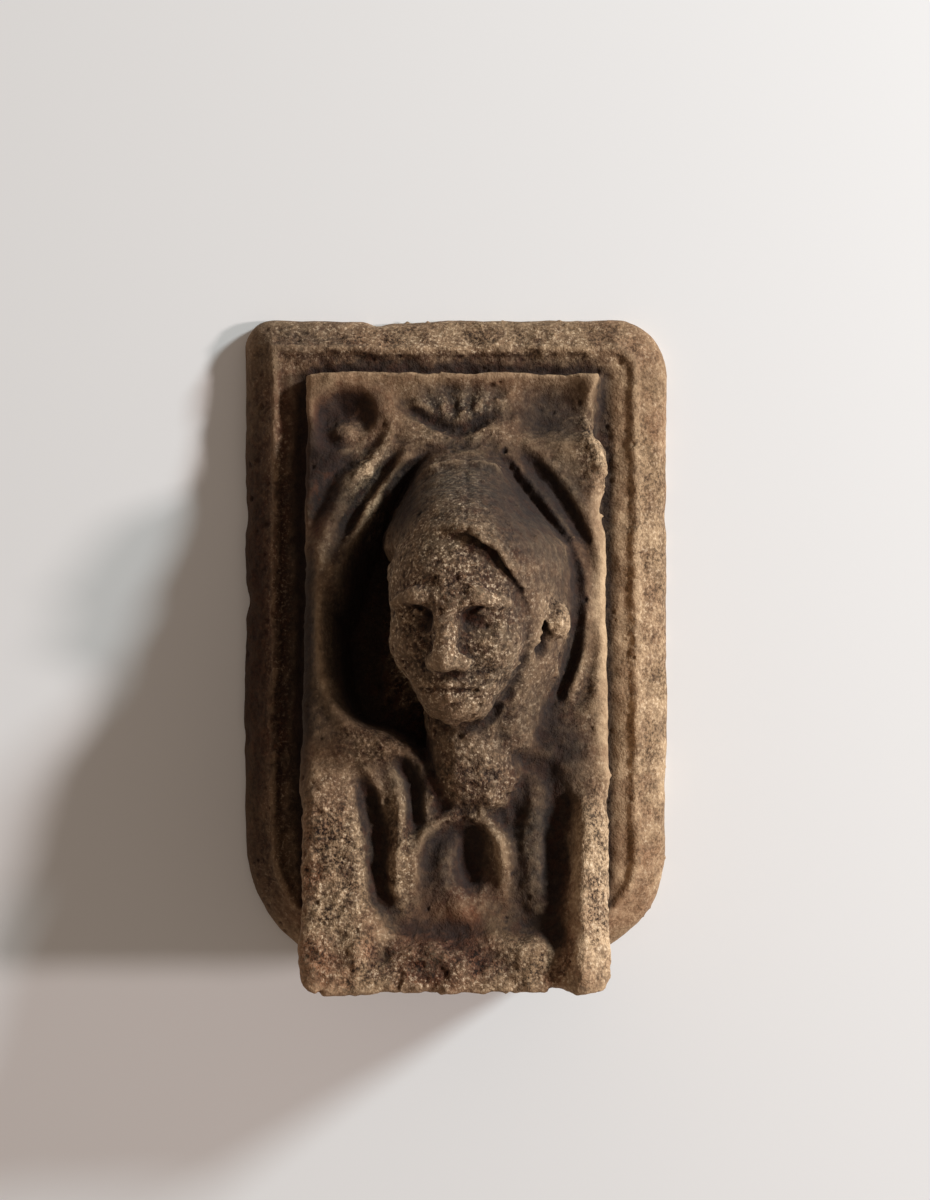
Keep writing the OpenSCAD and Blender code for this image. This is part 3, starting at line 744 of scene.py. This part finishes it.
# adds and wires nodes in one tree
class Nodes:
    def __init__(self, tree):
        self.tree = tree
        self.column = 0

    def add(self, kind, **settings):
        node = self.tree.nodes.new(kind)
        for name, value in settings.items():
            setattr(node, name, value)
        node.location = (self.column, 0)
        self.column += 180
        return node

    def link(self, a, b):
        self.tree.links.new(a, b)

    def noise(self, where, scale, detail, rough):
        node = self.add("ShaderNodeTexNoise")
        node.inputs["Scale"].default_value = scale
        node.inputs["Detail"].default_value = detail
        node.inputs["Roughness"].default_value = rough
        self.link(where, node.inputs["Vector"])
        return node.outputs["Fac"]

    def spread(self, value, a, b, c=0, d=1):
        node = self.add("ShaderNodeMapRange")
        for name, number in zip(("From Min", "From Max", "To Min", "To Max"), (a, b, c, d)):
            node.inputs[name].default_value = number
        self.link(value, node.inputs["Value"])
        return node.outputs["Result"]

    def sum(self, kind, a, b):
        node = self.add("ShaderNodeMath", operation=kind)
        for socket, value in zip(node.inputs, (a, b)):
            if isinstance(value, (int, float)):
                socket.default_value = value
            else:
                self.link(value, socket)
        return node.outputs[0]

    def blend(self, share, a, b):
        node = self.add("ShaderNodeMix", data_type="RGBA")
        for name, value in (("Factor", share), ("A", a), ("B", b)):
            socket = [s for s in node.inputs if s.name == name and s.enabled][0]
            if isinstance(value, tuple):
                socket.default_value = rgba(value)
            else:
                self.link(value, socket)
        return [s for s in node.outputs if s.enabled][0]


print("stone's surface")
stoneMaterial = bpy.data.materials.new("weathered_stone")
stoneMaterial.use_nodes = True
tree = stoneMaterial.node_tree
shader = tree.nodes["Principled BSDF"]
n = Nodes(tree)
where = n.add("ShaderNodeTexCoord").outputs["Object"]


def mask(name):
    return n.add("ShaderNodeAttribute", attribute_name=name).outputs["Fac"]


broad = n.noise(where, 28, 5, 0.6)
patch = n.noise(where, 75, 5, 0.65)
blotch = n.noise(where, 170, 4, 0.6)
fine = n.noise(where, 330, 4, 0.65)
speck = n.noise(where, 640, 3, 0.7)
grain = n.noise(where, 900, 2, 0.6)
maskNames = ("coarse", "sootAndShade", "paleAndLit", "hollow", "ridge", "rust")
coarse, sootAndShade, paleAndLit, hollow, ridge, rust = (mask(name) for name in maskNames)

rusty = n.sum("MULTIPLY", n.spread(broad, 0.44, 0.58), n.sum("ADD", 0.4, rust))
colour = n.blend(n.sum("MINIMUM", rusty, 1.0), stoneLook["sand"], stoneLook["rust"])
# paler stone, and painted light on the sides that face the lamp, such as the right pilaster, the block's right
# edge and the plate's right
paleAndLitShare = n.sum("MULTIPLY", n.spread(patch, 0.45, 0.62), n.sum("ADD", 0.08, paleAndLit))
colour = n.blend(paleAndLitShare, colour, stoneLook["sandPaleAndLit"])
colour = n.blend(n.sum("MULTIPLY", paleAndLit, 0.5), colour, stoneLook["sandPaleAndLit"])
clean = n.sum("MULTIPLY", n.spread(fine, 0.5, 0.66), n.sum("MULTIPLY", coarse, 0.7))  # grains rubbed clean
# soot, plus painted shade on the plate's shaded left and on the hood, blended in as a dark grey to red colour
sootAndShadeAmount = n.sum("MULTIPLY", sootAndShade, n.spread(patch, 0.35, 0.65, 1.15, 0.8))
sootAndShadeAmount = n.sum("MULTIPLY", n.sum("MINIMUM", sootAndShadeAmount, 1.0), n.sum("SUBTRACT", 1.0, clean))
sootAndShadeAmount = n.sum("MULTIPLY", sootAndShadeAmount, n.spread(paleAndLit, 0, 1, 1, 0.5))
sootAndShadeColour = n.blend(n.sum("MULTIPLY", rust, 0.9), stoneLook["sootAndShadeGrey"], stoneLook["sootRedAndShade"])
colour = n.blend(sootAndShadeAmount, colour, sootAndShadeColour)
# painted shade with soot: the hollows and the black patches go near black
colour = n.blend(n.sum("MULTIPLY", hollow, n.spread(fine, 0.3, 0.7, 1, 0.8)), colour, stoneLook["sootAndShadeBlack"])
stained = n.sum("MULTIPLY", coarse, n.spread(paleAndLit, 0, 1, 0.85, 0.5))
stained = n.sum("MULTIPLY", n.spread(blotch, 0.49, 0.62), stained)
colour = n.blend(stained, colour, stoneLook["sootRedAndShade"])
bloom = n.sum("MULTIPLY", n.spread(blotch, 0.46, 0.36), n.spread(broad, 0.62, 0.42))
bloom = n.sum("MULTIPLY", bloom, n.sum("MULTIPLY", rust, 0.6))
colour = n.blend(bloom, colour, stoneLook["iron"])        # iron stains that show through the soot
speckle = n.sum("MULTIPLY", n.spread(speck, 0.51, 0.42), n.sum("ADD", coarse, 0.1))
speckle = n.sum("MULTIPLY", speckle, n.spread(patch, 0.6, 0.4, 0.4, 1.1))
colour = n.blend(speckle, colour, stoneLook["darkGrain"])
# pale mineral grains, and painted sunlit highlights, left out of the hollows' painted shade
glint = n.sum("MULTIPLY", n.spread(speck, 0.54, 0.66), n.sum("ADD", n.sum("MULTIPLY", coarse, 0.85), 0.02))
glint = n.sum("MULTIPLY", glint, n.spread(patch, 0.4, 0.6, 0.35, 1.2))
glint = n.sum("MULTIPLY", glint, n.spread(hollow, 0, 0.6, 1, 0.0))
colour = n.blend(glint, colour, stoneLook["paleGrainAndGlint"])
bare = n.sum("MULTIPLY", ridge, n.spread(hollow, 0, 0.8, 0.36, 0.04))
colour = n.blend(bare, colour, stoneLook["sandPaleAndLit"])
n.link(colour, shader.inputs["Base Color"])
shader.inputs["Roughness"].default_value = stoneLook["roughness"]
shader.inputs["Specular IOR Level"].default_value = stoneLook["shine"]

bumpFine = n.add("ShaderNodeBump")
bumpFine.inputs["Strength"].default_value = stoneLook["bump"]
bumpFine.inputs["Distance"].default_value = stoneLook["bumpHeight"]
height = n.sum("MULTIPLY", fine, n.sum("ADD", 0.3, n.sum("MULTIPLY", coarse, 1.7)))
height = n.sum("ADD", height, n.sum("MULTIPLY", grain, 0.5))
n.link(height, bumpFine.inputs["Height"])
n.link(bumpFine.outputs["Normal"], shader.inputs["Normal"])
stoneMesh.materials.clear()
stoneMesh.materials.append(stoneMaterial)


# the wall, the lights, the room and the camera
stage = {
    "wallColour": (0.80, 0.80, 0.80), "wallRough": 0.9, "wallShine": 0.1, "wallReach": 4,
    "wallBehind": 0.4, "wallHole": 2.5,               # in millimetres of the carving
    "sideToward": (1.57, -1, 0), "sideAway": 3, "sideSize": 0.3,
    "sidePower": 52, "sideColour": (1, 0.9, 0.88),
    "highToward": (1.9, -1, 1.09), "highAway": 3, "highSize": 0.45,
    "highPower": 90, "highColour": (0.86, 0.96, 1),
    "room": 0.27, "roomColour": (1, 0.82, 0.68), "backdrop": (0.82, 0.82, 0.825),
    "cameraAt": (4.47, -793, 16.5), "lens": 50, "sensor": 36,
}

print("stage")


# the plate's outline, moved in a little, as a closed loop
def wallOutline(inward):
    loop = []
    top, foot = form["plateTop"] - inward, form["foot"] + inward
    left, right, lower = form["cornerLeft"], form["cornerRight"], form["cornerFoot"]
    lowerCentre = form["arcsFoot"] + lower
    corners = ((1, form["plateTop"] - right, right, 90), (1, lowerCentre, lower, 0),
               (-1, lowerCentre, lower, -90), (-1, form["plateTop"] - left, left, 180))
    for side, centre, r, firstAngle in corners:
        for k in range(13):
            a = math.radians(firstAngle - k * 7.5)
            up = centre + (r - inward) * math.sin(a)
            loop.append((side * (form["plateHalfWide"] - r) + (r - inward) * math.cos(a), min(top, max(foot, up))))
    return [(x * mm, z * mm) for x, z in loop]


inner = wallOutline(stage["wallHole"])
wallAt = -stage["wallBehind"] * mm
ringPoints = [(x, wallAt, z) for x, z in inner]
for x, z in inner:
    away = stage["wallReach"] / max(abs(x), abs(z))
    ringPoints.append((x * away, wallAt, z * away))
count = len(inner)
ring = [(i, (i + 1) % count, (i + 1) % count + count, i + count) for i in range(count)]
wallMesh = bpy.data.meshes.new("wall")
wallMesh.from_pydata(ringPoints, [], ring)
if sum(p.normal[1] for p in wallMesh.polygons) > 0:
    wallMesh.flip_normals()
wall = bpy.data.objects.new("wall", wallMesh)
bpy.context.scene.collection.objects.link(wall)

wallMaterial = bpy.data.materials.new("wall")
wallMaterial.use_nodes = True
wallNodes = Nodes(wallMaterial.node_tree)
wallShader = wallMaterial.node_tree.nodes["Principled BSDF"]
wallShader.inputs["Base Color"].default_value = rgba(stage["wallColour"])
wallShader.inputs["Roughness"].default_value = stage["wallRough"]
wallShader.inputs["Specular IOR Level"].default_value = stage["wallShine"]
# from behind, the wall is left out of sight
seeThrough = wallNodes.add("ShaderNodeBsdfTransparent")
choose = wallNodes.add("ShaderNodeMixShader")
behind = wallNodes.add("ShaderNodeNewGeometry")
wallNodes.link(behind.outputs["Backfacing"], choose.inputs["Fac"])
wallNodes.link(wallShader.outputs["BSDF"], choose.inputs[1])
wallNodes.link(seeThrough.outputs["BSDF"], choose.inputs[2])
wallEnd = wallMaterial.node_tree.nodes["Material Output"]
wallNodes.link(choose.outputs["Shader"], wallEnd.inputs["Surface"])
wallMesh.materials.append(wallMaterial)


def areaLight(name, toward, away, size, power, colour):
    light = bpy.data.lights.new(name, "AREA")
    light.shape = "DISK"
    light.size = size
    light.energy = power
    light.color = colour
    holder = bpy.data.objects.new(name, light)
    length = math.sqrt(sum(v * v for v in toward))
    direction = Vector(toward) / length
    holder.location = direction * away
    holder.rotation_euler = direction.to_track_quat("Z", "Y").to_euler()
    bpy.context.scene.collection.objects.link(holder)


for name in ("side", "high"):
    areaLight(name + "Light", *(stage[name + part] for part in ("Toward", "Away", "Size", "Power", "Colour")))

world = bpy.data.worlds.new("room")
world.use_nodes = True
bpy.context.scene.world = world
roomNodes = Nodes(world.node_tree)
roomLight = world.node_tree.nodes["Background"]
roomLight.inputs["Color"].default_value = rgba(stage["roomColour"])
roomLight.inputs["Strength"].default_value = stage["room"]
backdrop = roomNodes.add("ShaderNodeBackground")
backdrop.inputs["Color"].default_value = rgba(stage["backdrop"])
backdrop.inputs["Strength"].default_value = 1
# the room lights the stone, and the camera sees the backdrop
rays = roomNodes.add("ShaderNodeLightPath")
pick = roomNodes.add("ShaderNodeMixShader")
roomNodes.link(rays.outputs["Is Camera Ray"], pick.inputs["Fac"])
roomNodes.link(roomLight.outputs["Background"], pick.inputs[1])
roomNodes.link(backdrop.outputs["Background"], pick.inputs[2])
roomEnd = world.node_tree.nodes["World Output"]
roomNodes.link(pick.outputs["Shader"], roomEnd.inputs["Surface"])

camera = bpy.data.objects.new("camera", bpy.data.cameras.new("camera"))
camera.data.lens = stage["lens"]
camera.data.sensor_width = stage["sensor"]
camera.location = tuple(v * mm for v in stage["cameraAt"])
camera.rotation_euler = (math.radians(90), 0, 0)
bpy.context.scene.collection.objects.link(camera)
bpy.context.scene.camera = camera
bpy.context.scene.view_settings.view_transform = "Standard"
